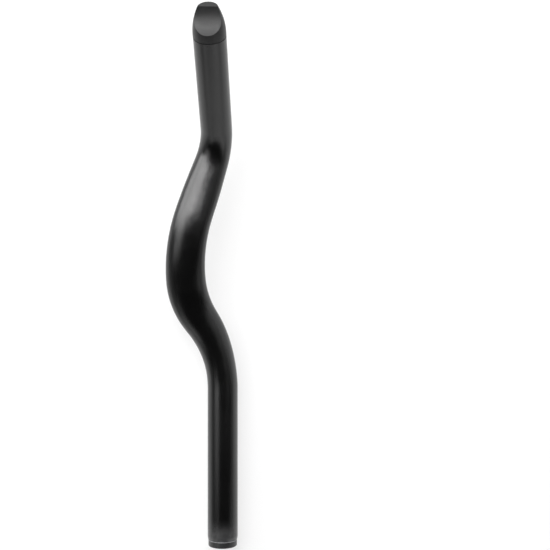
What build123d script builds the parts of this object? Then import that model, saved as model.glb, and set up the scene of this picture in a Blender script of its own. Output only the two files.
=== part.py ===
from build123d import *
import os
from math import cos, pi, radians, sin, tan

# Aero handlebar extension for the left hand, in millimetres. The origin is in the middle of the clamp
# section, on its axis. +Y runs forwards along that axis, +X is to the rider's right and +Z is up.

# Tube stock
tube_diameter = 22.2
tube_wall = 1.6

# Straight runs of the centre line, from the rear end to the front cap
clamp_run = 111.3
neck_run = 35.8
grip_run = 72.2

# Bend radii of the centre line, from the clamp section to the grip section
bow_entry_radius = 83.3
bow_rear_radius = 62.6
bow_front_radius = 98.7
grip_radius = 33.1

# Headings seen from above, in degrees to the left of the clamp section
bow_out_heading = 34.6
bow_side_heading = 3.4
bow_back_heading = -18.8
grip_heading = 1.6

# Slopes above level, in degrees
bow_out_rise_angle = 16
bow_side_rise_angle = 19
neck_rise_angle = -1
grip_rise_angle = 43.2

# Palm section: it starts past the clamp section, narrows towards the front and blends into the round tube
palm_start = 10.1
palm_width_rear = 31.3
palm_width_front = 25
palm_thickness = 18.6
palm_rear_blend = 77.2
palm_front_blend = 54

# Sections that shape the formed length between the straight runs, each drawn as two half turns
section_count = 41
half_turn = 180

# Tube ends
rear_taper_length = 3.2
rear_taper_depth = 0.5
rear_edge_round = 0.3

# Front cap: a short round collar, a bullet nose cut off flat, and a hollow for the thumb that turns
# outwards by a few degrees
cap_length = 21.3
cap_collar = 2.1
cap_edge_break = 0.5
end_face_radius = 6.6
end_face_round = 0.6
hollow_radius = 29.5
hollow_start = 6.1
hollow_turn = 4.5
cap_spigot_length = 16
cap_rib_count = 6
cap_core_radius = 5.5
cap_core_beyond_seam = 4

# Rear plug: a flange with a crowned face and a rounded edge, and a spigot that slots divide into fingers
flange_inset = 0.05
flange_thickness = 4.8
flange_crown = 0.5
flange_round = 1.2
flange_front_break = 0.3
plug_spigot_length = 15
plug_spigot_wall = 1.8
plug_finger_count = 4
plug_finger_root = 4
plug_slot_width = 2.2

# Fit of both spigots in the bore, with ribs that stop short of the spigot's end
spigot_clearance = 0.5
spigot_lead = 0.8
rib_clearance = 0.12
rib_radius = 0.9
rib_setback = 4

tube_radius = tube_diameter / 2
bore_radius = tube_radius - tube_wall
spigot_radius = bore_radius - spigot_clearance
rib_ring_radius = bore_radius - rib_clearance - rib_radius
flange_radius = tube_radius - rear_taper_depth - flange_inset


def run_direction(heading, rise):
    """Unit vector along the tube, from its heading to the left of +Y and its slope above level."""
    level = cos(radians(rise))
    return Vector(-sin(radians(heading)) * level, cos(radians(heading)) * level, sin(radians(rise)))


# Centre line: the clamp run, then each bend with the direction it turns to and any straight run after it
rear_end = Vector(0, -clamp_run / 2, 0)
clamp_direction = run_direction(0, 0)
grip_direction = run_direction(grip_heading, grip_rise_angle)
bends = [
    (bow_entry_radius, run_direction(bow_out_heading, bow_out_rise_angle), 0),
    (bow_rear_radius, run_direction(bow_side_heading, bow_side_rise_angle), 0),
    (bow_front_radius, run_direction(bow_back_heading, neck_rise_angle), neck_run),
    (grip_radius, grip_direction, grip_run),
]
with BuildLine() as centre_line:
    clamp_line = Line(rear_end, rear_end + clamp_direction * clamp_run)
    front_end = clamp_line @ 1
    direction = clamp_direction
    for radius, next_direction, run in bends:
        reach = radius * tan(radians(direction.get_angle(next_direction)) / 2)
        bend = TangentArc(front_end, front_end + (direction + next_direction) * reach, tangent=direction)
        front_end = bend @ 1
        if run > 0:
            front_end = Line(front_end, front_end + next_direction * run) @ 1
        direction = next_direction
tube_line = centre_line.wire()
formed_length = tube_line.length - clamp_run - grip_run


def section_plane(distance):
    """Plane square to the centre line at a distance from the rear end, with its X axis level."""
    forwards = tube_line.tangent_at(distance, position_mode=PositionMode.LENGTH)
    centre = tube_line.position_at(distance, position_mode=PositionMode.LENGTH)
    return Plane(origin=centre, x_dir=forwards.cross(Vector(0, 0, 1)), z_dir=forwards)


def blend(share):
    """Goes from 0 to 1 with no slope at either end."""
    share = min(max(share, 0), 1)
    return share * share * (3 - 2 * share)


def formed_section(distance, inset):
    """Section of the formed length in two halves: round at both ends of the length and oval at the palm."""
    from_rear = distance - clamp_run
    from_front = formed_length - from_rear
    formed = blend((from_rear - palm_start) / palm_rear_blend) * blend(from_front / palm_front_blend)
    palm_width = palm_width_rear + (palm_width_front - palm_width_rear) * from_rear / formed_length
    half_width = tube_radius + (palm_width - tube_diameter) / 2 * formed - inset
    half_thickness = tube_radius + (palm_thickness - tube_diameter) / 2 * formed - inset
    with BuildSketch(section_plane(distance)) as section:
        with BuildLine():
            for start in (0, half_turn):
                EllipticalCenterArc((0, 0), half_width, half_thickness, start, arc_size=half_turn)
        make_face()
    return section.sketch


def section_distance(index):
    """Distance of a section from the rear end. Sections crowd towards both ends, next to the round tube."""
    return clamp_run + formed_length * (1 - cos(pi * index / (section_count - 1))) / 2


rear_plane = section_plane(0)
grip_plane = section_plane(clamp_run + formed_length)
seam_plane = Plane(origin=front_end, x_dir=grip_plane.x_dir, z_dir=grip_direction)
clamp_axis = Axis(rear_end, clamp_direction)
grip_axis = Axis(front_end, grip_direction)

# Tube: round clamp section, formed length and round grip section, bored at an even wall
with BuildPart() as extension_tube:
    for inset, mode in ((0, Mode.ADD), (tube_wall, Mode.SUBTRACT)):
        with BuildSketch(rear_plane):
            Circle(tube_radius - inset)
        extrude(amount=clamp_run, mode=mode)
        loft([formed_section(section_distance(index), inset) for index in range(section_count)], mode=mode)
        with BuildSketch(grip_plane):
            Circle(tube_radius - inset)
        extrude(amount=grip_run, mode=mode)
    rear_face = extension_tube.faces().sort_by(clamp_axis)[0]
    rear_rim = rear_face.edges().sort_by(SortBy.LENGTH)[-1]
    chamfer(rear_rim, length=rear_taper_depth, length2=rear_taper_length, reference=rear_face)
    rear_face = extension_tube.faces().sort_by(clamp_axis)[0]
    fillet(rear_face.edges().sort_by(SortBy.LENGTH)[-1], rear_edge_round)
extension_tube.part.label = "extension_tube"

# Profiles of the end pieces: local X is the distance from the tube's axis, local Y points out of the tube
cap_profile = Plane(origin=front_end, x_dir=-seam_plane.y_dir, z_dir=-seam_plane.x_dir)
hollow_facing = cap_profile.x_dir.rotate(grip_axis, -hollow_turn)
hollow_profile = Plane(origin=front_end, x_dir=hollow_facing, z_dir=hollow_facing.cross(grip_direction))
plug_profile = Plane(origin=rear_end, x_dir=rear_plane.x_dir, z_dir=rear_plane.y_dir)

# Front cap: turned nose with its hollow, and a ribbed spigot cored out from the tube's side
with BuildPart() as front_cap:
    with BuildSketch(cap_profile):
        with BuildLine():
            collar = Polyline(
                (0, 0),
                (tube_radius - cap_edge_break, 0),
                (tube_radius, cap_edge_break),
                (tube_radius, cap_collar),
            )
            nose = TangentArc(collar @ 1, (end_face_radius, cap_length), tangent=(0, 1))
            Polyline(nose @ 1, (0, cap_length), (0, 0))
        make_face()
    revolve(axis=grip_axis)
    fillet(front_cap.edges().sort_by(grip_axis)[-1], end_face_round)
    with BuildSketch(hollow_profile):
        with BuildLine():
            hollow = RadiusArc((0, cap_length), (tube_radius, hollow_start), -hollow_radius)
            Polyline(
                hollow @ 1,
                (tube_diameter, hollow_start),
                (tube_diameter, cap_length + tube_radius),
                (0, cap_length + tube_radius),
                hollow @ 0,
            )
        make_face()
    extrude(amount=tube_diameter, both=True, mode=Mode.SUBTRACT)
    with BuildSketch(seam_plane):
        Circle(spigot_radius)
    extrude(amount=-cap_spigot_length)
    chamfer(front_cap.edges().sort_by(grip_axis)[0], spigot_lead)
    with BuildSketch(seam_plane):
        with PolarLocations(rib_ring_radius, cap_rib_count):
            Circle(rib_radius)
    extrude(amount=rib_setback - cap_spigot_length)
    with BuildSketch(seam_plane.offset(-cap_spigot_length)):
        Circle(cap_core_radius)
    extrude(amount=cap_spigot_length + cap_core_beyond_seam, mode=Mode.SUBTRACT)
front_cap.part.label = "front_cap"

# Rear plug: crowned flange against the tube's end, and a spigot of springy fingers with one rib on each
with BuildPart() as rear_plug:
    with BuildSketch(plug_profile):
        with BuildLine():
            edge = Polyline(
                (0, 0),
                (flange_radius - flange_front_break, 0),
                (flange_radius, flange_front_break),
                (flange_radius, flange_thickness - flange_crown),
            )
            crown = TangentArc((0, flange_thickness), edge @ 1, tangent=(1, 0))
            Line(crown @ 0, (0, 0))
        make_face()
    revolve(axis=clamp_axis)
    crown_face = rear_plug.faces().sort_by(clamp_axis)[0]
    fillet(crown_face.edges().sort_by(SortBy.LENGTH)[-1], flange_round)
    with BuildSketch(rear_plane):
        Circle(spigot_radius)
    extrude(amount=plug_spigot_length)
    chamfer(rear_plug.edges().sort_by(clamp_axis)[-1], spigot_lead)
    with BuildSketch(rear_plane):
        with PolarLocations(rib_ring_radius, plug_finger_count):
            Circle(rib_radius)
    extrude(amount=plug_spigot_length - rib_setback)
    with BuildSketch(rear_plane):
        Circle(spigot_radius - plug_spigot_wall)
    extrude(amount=plug_spigot_length, mode=Mode.SUBTRACT)
    with BuildSketch(rear_plane.offset(plug_spigot_length)):
        with PolarLocations(spigot_radius, plug_finger_count, start_angle=half_turn / plug_finger_count):
            Rectangle(2 * plug_spigot_wall + spigot_clearance, plug_slot_width)
    extrude(amount=plug_finger_root - plug_spigot_length, mode=Mode.SUBTRACT)
rear_plug.part.label = "rear_plug"

os.makedirs("parts", exist_ok=True)
export_step(extension_tube.part, "parts/extension_tube.step")
export_step(front_cap.part, "parts/front_cap.step")
export_step(rear_plug.part, "parts/rear_plug.step")
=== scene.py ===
"""Left aero handlebar extension: satin black paint and moulded plastics, in a plain white studio."""

from math import cos, pi, sin

import bmesh
import bpy
from bpy.props import FloatProperty, FloatVectorProperty, PointerProperty
from mathutils import Matrix, Vector


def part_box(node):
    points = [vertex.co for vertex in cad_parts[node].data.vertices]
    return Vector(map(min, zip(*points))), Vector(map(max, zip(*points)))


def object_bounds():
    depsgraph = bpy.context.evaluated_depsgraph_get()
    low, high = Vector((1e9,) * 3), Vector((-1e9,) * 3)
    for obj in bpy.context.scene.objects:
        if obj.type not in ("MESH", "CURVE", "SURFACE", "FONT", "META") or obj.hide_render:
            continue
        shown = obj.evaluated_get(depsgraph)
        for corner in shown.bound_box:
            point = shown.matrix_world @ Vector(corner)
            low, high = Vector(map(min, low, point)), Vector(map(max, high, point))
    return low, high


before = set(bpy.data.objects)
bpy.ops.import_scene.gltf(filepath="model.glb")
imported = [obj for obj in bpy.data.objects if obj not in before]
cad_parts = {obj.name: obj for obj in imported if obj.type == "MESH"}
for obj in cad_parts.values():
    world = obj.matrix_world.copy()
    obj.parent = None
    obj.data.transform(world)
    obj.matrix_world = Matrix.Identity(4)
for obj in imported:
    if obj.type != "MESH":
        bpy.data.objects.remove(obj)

bl_info = {
    "name": "Aero Handlebar Extension",
    "version": (1, 0, 0),
    "blender": (4, 5, 0),
    "location": "3D View > Sidebar > Extension",
    "description": "Finishes an aero handlebar extension and sets it in a white studio",
    "category": "Object",
}

CAD_LOW, CAD_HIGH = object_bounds()

WHITE = (1.0, 1.0, 1.0, 1.0)
WHOLE = (0.0, 1.0)

# Noise of the finishes: the finer layers that it has, and the part of its range that shows
GRAIN_DETAIL = 2.0
FLECK_DETAIL = 1.0
FLECKS_PER_GRAIN = 1.37
FLECK_RANGE = (0.5, 0.78)
PATCH_DETAIL = 3.0
PATCH_RANGE = (0.3, 0.7)
# Strength range of the painted highlight at the rear end, varied in patches
REAR_HIGHLIGHT_RANGE = (0.7, 1.0)

# Paper sweep: the steps up its curve and round it, and the distance within which its points merge
CURVE_STEPS = 12
ROUND_STEPS = 96
MERGE_DISTANCE = 1e-6
PAPER_ROUGHNESS = 0.9

LAMPS = ("key", "top", "high", "back", "front", "corner", "right", "left")


def colour(name, description, default):
    """Colour property of a finish."""
    return FloatVectorProperty(
        name=name, description=description, default=default, subtype="COLOR", size=3, min=0.0, max=1.0
    )


def length(name, description, default):
    """Length property, in metres."""
    return FloatProperty(
        name=name, description=description, default=default, subtype="DISTANCE", unit="LENGTH"
    )


def share(name, description, default):
    """Property between nothing and the whole."""
    return FloatProperty(
        name=name, description=description, default=default, subtype="FACTOR", min=0.0, max=1.0
    )


def power(name, description, default):
    """Power of a lamp, in watts."""
    return FloatProperty(name=name, description=description, default=default, unit="POWER", min=0.0)


def place(name, description, default):
    """Place in the shared frame, in metres."""
    return FloatVectorProperty(
        name=name, description=description, default=default, subtype="TRANSLATION", unit="LENGTH", size=3
    )


def extent(name, description, default):
    """Width and height of a lamp, in metres."""
    return FloatVectorProperty(
        name=name, description=description, default=default, subtype="XYZ_LENGTH", unit="LENGTH", size=2
    )


class TubePaintSettings(bpy.types.PropertyGroup):
    """Satin black paint of the tube"""

    paint_colour: colour("Paint", "Colour of the paint", (0.001, 0.001, 0.00105))
    fleck_colour: colour("Flecks", "Colour of the paint's lighter grains", (0.004, 0.004, 0.0041))
    roughness_low: share("Glossiest", "Roughness where the paint is smoothest", 0.2)
    roughness_high: share("Dullest", "Roughness where the paint is driest", 0.24)
    gloss: share("Gloss", "Strength of the paint's reflections, half for most paints", 0.6)
    grain_size: length("Grain size", "Spacing of the paint's grains", 0.0005)
    grain_depth: length("Grain depth", "Height of the paint's grains", 0.00007)
    patch_size: length("Patch size", "Spacing of the patches of uneven gloss", 0.022)
    # Painted highlight: a lighter band of paint colour over the tube's rear end stands in for light falling
    # there, uneven in patches
    rear_highlight_colour: colour("Painted rear highlight", "Colour of the paint rubbed by a clamp", (0.057, 0.057, 0.058))
    rear_highlight_reach: length("Painted highlight reach", "Length of the rubbed paint at the rear end", 0.018)
    rear_highlight_patch_size: length("Painted highlight patch size", "Spacing of the patches of uneven rubbing", 0.005)
    # Painted reflection: a light grey colour on the rear end edge stands in for the white surroundings
    # mirrored in the tube's rounded end edge
    edge_reflection_colour: colour("Painted edge reflection", "Colour of the worn edge at the rear end", (0.38, 0.38, 0.389))
    edge_reflection_reach: length("Painted edge reflection reach", "Length of the worn edge at the rear end", 0.0009)


class EndPlasticSettings(bpy.types.PropertyGroup):
    """Moulded plastics of the front cap and the rear plug"""

    cap_colour: colour("Cap", "Colour of the cap's grained plastic", (0.003, 0.003, 0.0031))
    cap_fleck_colour: colour("Cap flecks", "Colour of the cap's lighter grains", (0.012, 0.012, 0.0123))
    cap_roughness_low: share("Cap glossiest", "Roughness of the cap where it is smoothest", 0.4)
    cap_roughness_high: share("Cap dullest", "Roughness of the cap where it is driest", 0.48)
    cap_gloss: share("Cap gloss", "Strength of the cap's reflections, half for most plastics", 0.45)
    cap_grain_size: length("Cap grain size", "Spacing of the cap's moulded grain", 0.0007)
    cap_grain_depth: length("Cap grain depth", "Height of the cap's moulded grain", 0.000016)
    plug_colour: colour("Plug", "Colour of the plug's smooth plastic", (0.019, 0.019, 0.0195))
    plug_fleck_colour: colour("Plug flecks", "Colour of the plug's lighter grains", (0.032, 0.032, 0.0329))
    plug_roughness_low: share("Plug glossiest", "Roughness of the plug where it is smoothest", 0.3)
    plug_roughness_high: share("Plug dullest", "Roughness of the plug where it is driest", 0.36)
    plug_gloss: share("Plug gloss", "Strength of the plug's reflections, half for most plastics", 0.6)
    plug_grain_size: length("Plug grain size", "Spacing of the plug's moulded grain", 0.0005)
    plug_grain_depth: length("Plug grain depth", "Height of the plug's moulded grain", 0.000005)
    patch_size: length("Patch size", "Spacing of the patches of uneven gloss", 0.008)


class StudioSettings(bpy.types.PropertyGroup):
    """Camera, lamps and paper sweep around the part"""

    camera_place: place("Camera", "Where the camera hangs, looking straight down", (0.0386, 0.13965, 0.74))
    camera_lens: FloatProperty(
        name="Lens", description="Focal length in millimetres", default=65.6, min=1.0, unit="CAMERA"
    )
    aim: place("Aim", "Point that every lamp faces", (-0.01, 0.137, 0.035))
    key_place: place("Key lamp", "Middle of the tall softbox at the left", (-1.267, 0.787, 0.948))
    key_size: extent("Key size", "Width and height of the tall softbox", (0.8, 1.8))
    key_power: power("Key power", "Power of the tall softbox", 25.0)
    top_place: place("Top lamp", "Middle of the strip softbox overhead", (0.025, 0.335, 0.798))
    top_size: extent("Top size", "Width and height of the strip softbox", (0.73, 0.08))
    top_power: power("Top power", "Power of the strip softbox", 3.0)
    high_place: place("High lamp", "Middle of the softbox high at the left", (-0.447, 0.57, 1.165))
    high_size: extent("High size", "Width and height of the softbox high at the left", (0.31, 0.77))
    high_power: power("High power", "Power of the softbox high at the left", 3.5)
    back_place: place("Back lamp", "Middle of the softbox beyond the cap", (0.0, 0.85, 0.62))
    back_size: extent("Back size", "Width and height of the softbox beyond the cap", (0.45, 1.0))
    back_power: power("Back power", "Power of the softbox beyond the cap", 6.3)
    front_place: place("Front lamp", "Middle of the softbox before the plug", (0.34, -0.654, 0.262))
    front_size: extent("Front size", "Width and height of the softbox before the plug", (1.35, 0.46))
    front_power: power("Front power", "Power of the softbox before the plug", 1.55)
    corner_place: place("Corner lamp", "Middle of the weak softbox left of the plug", (-0.52, -0.72, 0.3))
    corner_size: extent("Corner size", "Width and height of the weak softbox left of the plug", (0.5, 0.5))
    corner_power: power("Corner power", "Power of the weak softbox left of the plug", 0.5)
    right_place: place("Right lamp", "Middle of the weak softbox at the right", (0.695, 0.397, 0.369))
    right_size: extent("Right size", "Width and height of the weak softbox at the right", (0.71, 1.2))
    right_power: power("Right power", "Power of the weak softbox at the right", 1.9)
    left_place: place("Left lamp", "Middle of the weak softbox at the left", (-1.126, 0.137, 1.182))
    left_size: extent("Left size", "Width and height of the weak softbox at the left", (0.88, 1.0))
    left_power: power("Left power", "Power of the weak softbox at the left", 3.9)
    paper_colour: colour("Paper", "Colour of the paper sweep", (0.256, 0.256, 0.256))
    near_glow: share("Near glow", "White that the paper adds near the part, as it is seen", 0.7)
    far_glow: share("Far glow", "White that the paper adds far from the part, as it is seen", 0.3)
    fade_start: length("Fade start", "Distance from the part where the paper starts to fade", 0.35)
    fade_end: length("Fade end", "Distance from the part where the paper has faded", 1.1)
    paper_radius: length("Paper radius", "Radius of the paper's level part", 1.9)
    paper_curve: length("Paper curve", "Radius of the curve up to the paper's wall", 0.5)
    paper_wall: length("Paper wall", "Height of the straight wall above the curve", 0.4)
    air: share("Air", "Even light from all round", 0.02)


def link(tree, source, target):
    """Links two sockets of a node tree."""
    tree.links.new(source, target)


def maths(tree, operation, *values):
    """Adds a maths node, with sockets linked or numbers set, and returns its result."""
    node = tree.nodes.new("ShaderNodeMath")
    node.operation = operation
    for socket, value in zip(node.inputs, values):
        if isinstance(value, bpy.types.NodeSocket):
            link(tree, value, socket)
        else:
            socket.default_value = value
    return node.outputs[0]


def spread(tree, value, source, target):
    """Maps a value smoothly from one range to another, and returns the result."""
    node = tree.nodes.new("ShaderNodeMapRange")
    node.interpolation_type = "SMOOTHSTEP"
    link(tree, value, node.inputs["Value"])
    for name, number in zip(("From Min", "From Max", "To Min", "To Max"), (*source, *target)):
        node.inputs[name].default_value = number
    return node.outputs["Result"]


def noise(tree, coordinates, scale, detail):
    """Adds a noise texture over the object's own coordinates and returns its value."""
    node = tree.nodes.new("ShaderNodeTexNoise")
    link(tree, coordinates, node.inputs["Vector"])
    link(tree, scale, node.inputs["Scale"])
    node.inputs["Detail"].default_value = detail
    return node.outputs["Fac"]


def start_group(name, size_name, default_size, outputs):
    """Starts a shader node group that takes a size in metres and gives values over the surface.

    Returns the group, the object's coordinates, the noise scale for that size and the output node.
    """
    group = bpy.data.node_groups.new(name, "ShaderNodeTree")
    taken = group.interface.new_socket(size_name, in_out="INPUT", socket_type="NodeSocketFloat")
    taken.default_value = default_size
    for label in outputs:
        group.interface.new_socket(label, in_out="OUTPUT", socket_type="NodeSocketFloat")
    coordinates = group.nodes.new("ShaderNodeTexCoord").outputs["Object"]
    per_metre = maths(group, "DIVIDE", 1.0, group.nodes.new("NodeGroupInput").outputs[size_name])
    return group, coordinates, per_metre, group.nodes.new("NodeGroupOutput")


def surface_grain():
    """Node group of a fine grain: its height for a bump, and a mask of its lighter flecks."""
    name = "surface_grain"
    if name in bpy.data.node_groups:
        return bpy.data.node_groups[name]
    group, coordinates, per_metre, given = start_group(name, "Grain Size", 0.001, ("Height", "Flecks"))
    link(group, noise(group, coordinates, per_metre, GRAIN_DETAIL), given.inputs["Height"])
    finer = maths(group, "MULTIPLY", per_metre, FLECKS_PER_GRAIN)
    flecks = noise(group, coordinates, finer, FLECK_DETAIL)
    link(group, spread(group, flecks, FLECK_RANGE, WHOLE), given.inputs["Flecks"])
    return group


def gloss_patches():
    """Node group of slow changes in gloss, as left by spraying, moulding and handling."""
    name = "gloss_patches"
    if name in bpy.data.node_groups:
        return bpy.data.node_groups[name]
    group, coordinates, per_metre, given = start_group(name, "Patch Size", 0.02, ("Patches",))
    patches = noise(group, coordinates, per_metre, PATCH_DETAIL)
    link(group, spread(group, patches, PATCH_RANGE, WHOLE), given.inputs["Patches"])
    return group


def place_group(tree, group, name, value):
    """Places a node group in a material and sets its one input."""
    node = tree.nodes.new("ShaderNodeGroup")
    node.node_tree = group
    node.inputs[name].default_value = value
    return node


def finish(name, base, flecks, roughness, gloss, grain_size, grain_depth, patch_size):
    """Makes a material of a dark base with lighter flecks, uneven gloss and a fine raised grain."""
    material = bpy.data.materials.new(name)
    material.use_nodes = True
    tree = material.node_tree
    shader = tree.nodes["Principled BSDF"]
    shader.inputs["Specular IOR Level"].default_value = gloss
    grain = place_group(tree, surface_grain(), "Grain Size", grain_size)
    patches = place_group(tree, gloss_patches(), "Patch Size", patch_size)
    tint = tree.nodes.new("ShaderNodeMix")
    tint.data_type = "RGBA"
    link(tree, grain.outputs["Flecks"], tint.inputs["Factor"])
    tint.inputs["A"].default_value = (*base, 1.0)
    tint.inputs["B"].default_value = (*flecks, 1.0)
    link(tree, tint.outputs["Result"], shader.inputs["Base Color"])
    link(tree, spread(tree, patches.outputs["Patches"], WHOLE, roughness), shader.inputs["Roughness"])
    bump = tree.nodes.new("ShaderNodeBump")
    bump.inputs["Distance"].default_value = grain_depth
    link(tree, grain.outputs["Height"], bump.inputs["Height"])
    link(tree, bump.outputs["Normal"], shader.inputs["Normal"])
    return material


def paint_rear_highlight(material, paint, rear):
    """Paints a highlight over the tube's rear end in uneven patches, and a reflection on its end edge, by
    lightening the paint's colour.
    """
    tree = material.node_tree
    base = tree.nodes["Principled BSDF"].inputs["Base Color"]
    position = tree.nodes.new("ShaderNodeSeparateXYZ")
    link(tree, tree.nodes.new("ShaderNodeTexCoord").outputs["Object"], position.inputs["Vector"])
    patches = place_group(tree, gloss_patches(), "Patch Size", paint.rear_highlight_patch_size).outputs["Patches"]
    evenness = spread(tree, patches, WHOLE, REAR_HIGHLIGHT_RANGE)
    # First the painted highlight band, then the painted reflection on the end edge, each lightening the
    # colour before it
    for colour_there, reach in (
        (paint.rear_highlight_colour, paint.rear_highlight_reach),
        (paint.edge_reflection_colour, paint.edge_reflection_reach),
    ):
        highlighted = spread(tree, position.outputs["Y"], (rear, rear + reach), reversed(WHOLE))
        mix = tree.nodes.new("ShaderNodeMix")
        mix.data_type = "RGBA"
        link(tree, maths(tree, "MULTIPLY", highlighted, evenness), mix.inputs["Factor"])
        link(tree, base.links[0].from_socket, mix.inputs["A"])
        mix.inputs["B"].default_value = (*colour_there, 1.0)
        link(tree, mix.outputs["Result"], base)


def end_plastic(name, plastic, piece):
    """Makes the plastic of one end piece, from the settings whose names start with that piece."""
    base, flecks, dry, smooth, gloss, grain_size, grain_depth = (
        getattr(plastic, piece + ending)
        for ending in (
            "_colour",
            "_fleck_colour",
            "_roughness_high",
            "_roughness_low",
            "_gloss",
            "_grain_size",
            "_grain_depth",
        )
    )
    return finish(name, base, flecks, (smooth, dry), gloss, grain_size, grain_depth, plastic.patch_size)


def dress(node, material):
    """Gives a node of the frame its material."""
    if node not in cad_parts:
        raise RuntimeError("The frame has no node named " + node)
    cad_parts[node].material_slots[0].material = material


class AEROBAR_OT_tube_paint(bpy.types.Operator):
    """Paint the tube"""

    bl_idname = "aerobar.tube_paint"
    bl_label = "Tube Paint"

    def execute(self, context):
        paint = context.scene.aerobar_tube_paint
        material = finish(
            "satin_black_paint",
            paint.paint_colour,
            paint.fleck_colour,
            (paint.roughness_low, paint.roughness_high),
            paint.gloss,
            paint.grain_size,
            paint.grain_depth,
            paint.patch_size,
        )
        dress("extension_tube", material)
        paint_rear_highlight(material, paint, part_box("extension_tube")[0].y)
        return {"FINISHED"}


class AEROBAR_OT_cap_plastic(bpy.types.Operator):
    """Finish the front cap in grained plastic"""

    bl_idname = "aerobar.cap_plastic"
    bl_label = "Cap Plastic"

    def execute(self, context):
        plastic = context.scene.aerobar_end_plastic
        dress("front_cap", end_plastic("grained_cap_plastic", plastic, "cap"))
        return {"FINISHED"}


class AEROBAR_OT_plug_plastic(bpy.types.Operator):
    """Finish the rear plug in smooth plastic"""

    bl_idname = "aerobar.plug_plastic"
    bl_label = "Plug Plastic"

    def execute(self, context):
        plastic = context.scene.aerobar_end_plastic
        dress("rear_plug", end_plastic("smooth_plug_plastic", plastic, "plug"))
        return {"FINISHED"}


def paper_material(studio):
    """Pale paper that shows white to the camera, in reflections and through clear pieces."""
    material = bpy.data.materials.new("sweep_paper")
    material.use_nodes = True
    tree = material.node_tree
    shader = tree.nodes["Principled BSDF"]
    shader.inputs["Base Color"].default_value = (*studio.paper_colour, 1.0)
    shader.inputs["Roughness"].default_value = PAPER_ROUGHNESS
    shader.inputs["Specular IOR Level"].default_value = 0.0
    shader.inputs["Emission Color"].default_value = WHITE
    path = tree.nodes.new("ShaderNodeLightPath")
    seen = maths(tree, "MAXIMUM", path.outputs["Is Camera Ray"], path.outputs["Is Glossy Ray"])
    seen = maths(tree, "MAXIMUM", seen, path.outputs["Is Transmission Ray"])
    distance = tree.nodes.new("ShaderNodeVectorMath")
    distance.operation = "LENGTH"
    link(tree, tree.nodes.new("ShaderNodeTexCoord").outputs["Object"], distance.inputs["Vector"])
    fade = (studio.fade_start, studio.fade_end)
    glow = spread(tree, distance.outputs["Value"], fade, (studio.near_glow, studio.far_glow))
    link(tree, maths(tree, "MULTIPLY", seen, glow), shader.inputs["Emission Strength"])
    return material


def paper_sweep(studio):
    """Level paper under the part that curves up to a low wall all round."""
    level, radius, curve = CAD_LOW.z, studio.paper_radius, studio.paper_curve
    profile = [(0.0, level), (radius / 2, level)]
    for step in range(CURVE_STEPS + 1):
        angle = pi / 2 * step / CURVE_STEPS
        profile.append((radius + curve * sin(angle), level + curve * (1 - cos(angle))))
    profile.append((radius + curve, level + curve + studio.paper_wall))
    shape = bmesh.new()
    points = [shape.verts.new((across, 0.0, up)) for across, up in profile]
    edges = [shape.edges.new(pair) for pair in zip(points, points[1:])]
    bmesh.ops.spin(
        shape,
        geom=points + edges,
        cent=(0, 0, 0),
        axis=(0, 0, 1),
        angle=2 * pi,
        steps=ROUND_STEPS,
        use_merge=True,
    )
    bmesh.ops.remove_doubles(shape, verts=shape.verts, dist=MERGE_DISTANCE)
    bmesh.ops.recalc_face_normals(shape, faces=shape.faces)
    for face in shape.faces:
        face.smooth = True
    mesh = bpy.data.meshes.new("paper_sweep")
    shape.to_mesh(mesh)
    shape.free()
    mesh.materials.append(paper_material(studio))
    return bpy.data.objects.new("paper_sweep", mesh)


def softbox(name, where, aim, size, watts):
    """Rectangular lamp that faces the aim."""
    light = bpy.data.lights.new(name, "AREA")
    light.shape = "RECTANGLE"
    light.size, light.size_y = size
    light.energy = watts
    lamp = bpy.data.objects.new(name, light)
    turn = (Vector(where) - Vector(aim)).to_track_quat("Z", "Y")
    lamp.matrix_world = Matrix.Translation(where) @ turn.to_matrix().to_4x4()
    lamp.visible_camera = False
    return lamp


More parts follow.
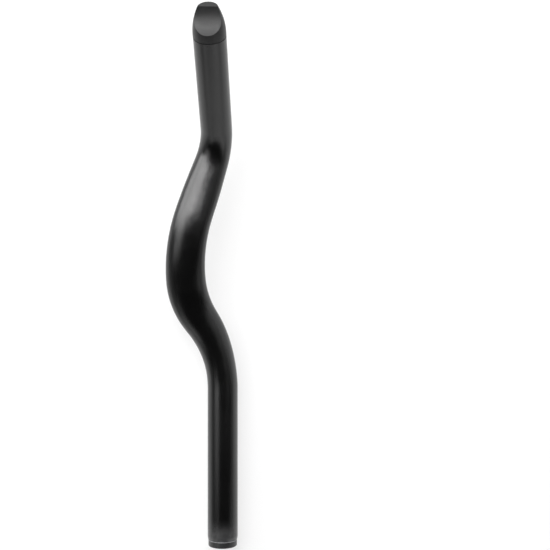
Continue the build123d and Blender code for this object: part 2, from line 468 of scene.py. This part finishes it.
class AEROBAR_OT_stage(bpy.types.Operator):
    """Set up the paper sweep, the lamps and the camera"""

    bl_idname = "aerobar.stage"
    bl_label = "Stage"

    def execute(self, context):
        scene = context.scene
        studio = scene.aerobar_studio
        sweep = paper_sweep(studio)
        scene.collection.objects.link(sweep)
        for name in LAMPS:
            where, size, watts = (getattr(studio, name + ending) for ending in ("_place", "_size", "_power"))
            scene.collection.objects.link(softbox(name + "_softbox", where, studio.aim, size, watts))
        world = bpy.data.worlds.new("studio_air")
        world.use_nodes = True
        background = world.node_tree.nodes["Background"]
        background.inputs["Color"].default_value = WHITE
        background.inputs["Strength"].default_value = studio.air
        scene.world = world
        lens = bpy.data.cameras.new("photo_camera")
        lens.lens = studio.camera_lens
        camera = bpy.data.objects.new("photo_camera", lens)
        camera.location = studio.camera_place
        scene.collection.objects.link(camera)
        scene.camera = camera
        scene.view_settings.view_transform = "Standard"
        return {"FINISHED"}


class AEROBAR_PT_sidebar(bpy.types.Panel):
    """Lists the steps and their settings"""

    bl_idname = "AEROBAR_PT_sidebar"
    bl_label = "Aero Handlebar Extension"
    bl_space_type = "VIEW_3D"
    bl_region_type = "UI"
    bl_category = "Extension"

    def draw(self, context):
        scene = context.scene
        for operator, settings in (
            (AEROBAR_OT_tube_paint, scene.aerobar_tube_paint),
            (AEROBAR_OT_cap_plastic, scene.aerobar_end_plastic),
            (AEROBAR_OT_plug_plastic, None),
            (AEROBAR_OT_stage, scene.aerobar_studio),
        ):
            self.layout.operator(operator.bl_idname)
            if settings:
                for name in settings.__annotations__:
                    self.layout.prop(settings, name)


CLASSES = (
    TubePaintSettings,
    EndPlasticSettings,
    StudioSettings,
    AEROBAR_OT_tube_paint,
    AEROBAR_OT_cap_plastic,
    AEROBAR_OT_plug_plastic,
    AEROBAR_OT_stage,
    AEROBAR_PT_sidebar,
)


def register():
    """Registers the classes and their settings on the scene."""
    for cls in CLASSES:
        bpy.utils.register_class(cls)
    bpy.types.Scene.aerobar_tube_paint = PointerProperty(type=TubePaintSettings)
    bpy.types.Scene.aerobar_end_plastic = PointerProperty(type=EndPlasticSettings)
    bpy.types.Scene.aerobar_studio = PointerProperty(type=StudioSettings)


def unregister():
    """Takes the settings off the scene and unregisters the classes."""
    del bpy.types.Scene.aerobar_studio
    del bpy.types.Scene.aerobar_end_plastic
    del bpy.types.Scene.aerobar_tube_paint
    for cls in reversed(CLASSES):
        bpy.utils.unregister_class(cls)


def main():
    """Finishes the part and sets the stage."""
    register()
    bpy.ops.aerobar.tube_paint()
    bpy.ops.aerobar.cap_plastic()
    bpy.ops.aerobar.plug_plastic()
    bpy.ops.aerobar.stage()


if __name__ == "__main__":
    main()
